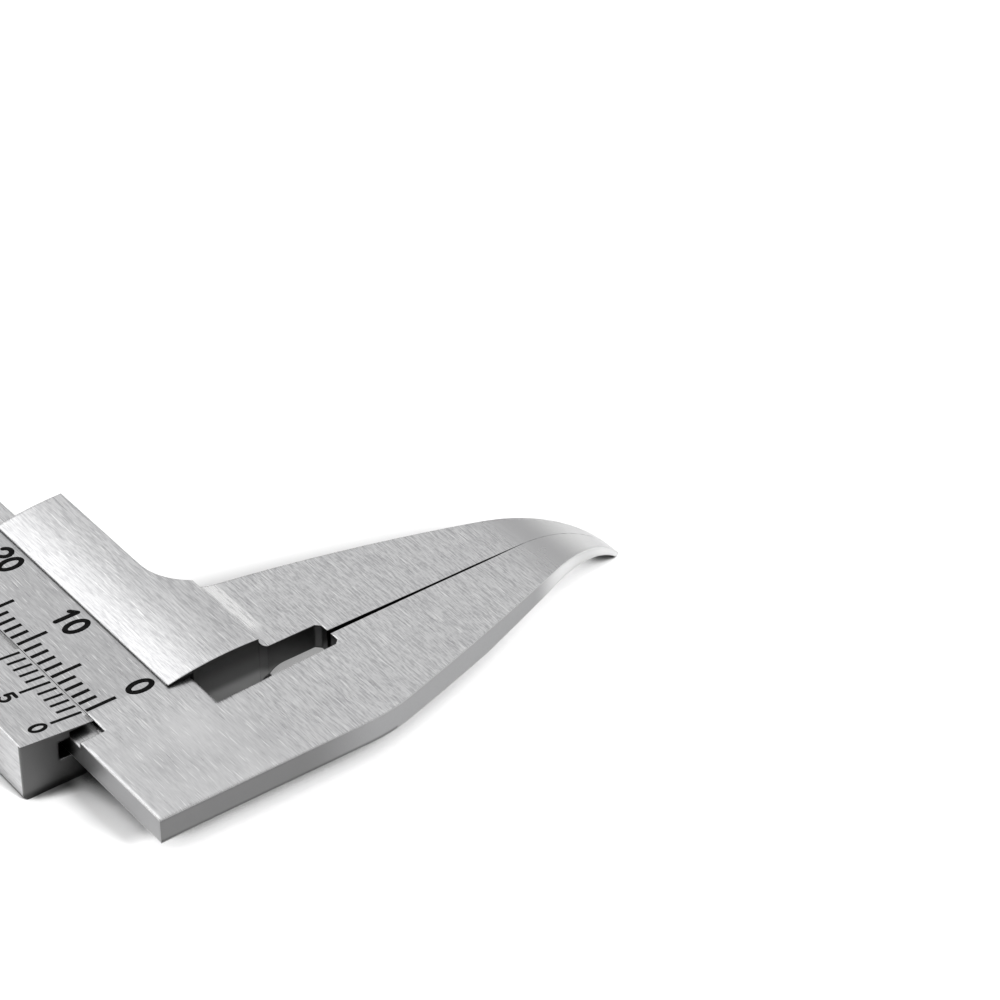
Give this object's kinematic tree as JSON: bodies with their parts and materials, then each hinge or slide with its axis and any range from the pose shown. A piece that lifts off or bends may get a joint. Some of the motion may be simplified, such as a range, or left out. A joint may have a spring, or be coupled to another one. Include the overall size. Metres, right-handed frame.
{
  "type": "dental vernier caliper",
  "caption": "Slim steel vernier caliper with a sliding jaw on a flat bar and long pointed jaws whose tips bend towards the back, for measuring thin dental work.",
  "frame": {"origin": "centre of the slider's flat back face, jaws closed", "axes": "+X along the bar towards the fixed jaw, +Y along the jaws to their tips, +Z out of the scale face"},
  "size_m": [0.1245, 0.0584, 0.0059],
  "materials": {
    "satin_steel": "satin brushed along the bar",
    "satin_steel_slider": "satin brushed along the bar",
    "mark_fill": "matt black filling",
    "gib_brass": "plain rolled",
    "screw_steel": "turned",
    "knurled_steel": "knurled",
    "stop_steel": "ground"
  },
  "bodies": {
    "bar_body": {"bar": "satin_steel", "main_scale": "mark_fill", "end_stop": "stop_steel", "stop_screws": "screw_steel"},
    "slider_body": {"slider": "satin_steel_slider", "vernier_scale": "mark_fill", "gib": "gib_brass", "gib_screws": "screw_steel"},
    "lock_body": {"lock_screw": "knurled_steel"}
  },
  "joints": [
    {"name": "slider_slide", "type": "slide", "parent": "bar_body", "child": "slider_body", "axis": [-1, 0, 0], "range_m": [0, 0.08]},
    {"name": "lock_turn", "type": "hinge", "parent": "slider_body", "child": "lock_body", "pos_m": [0, -0.00951, 0.00317], "axis": [0, -1, 0], "range_deg": [0, 180]}
  ]
}
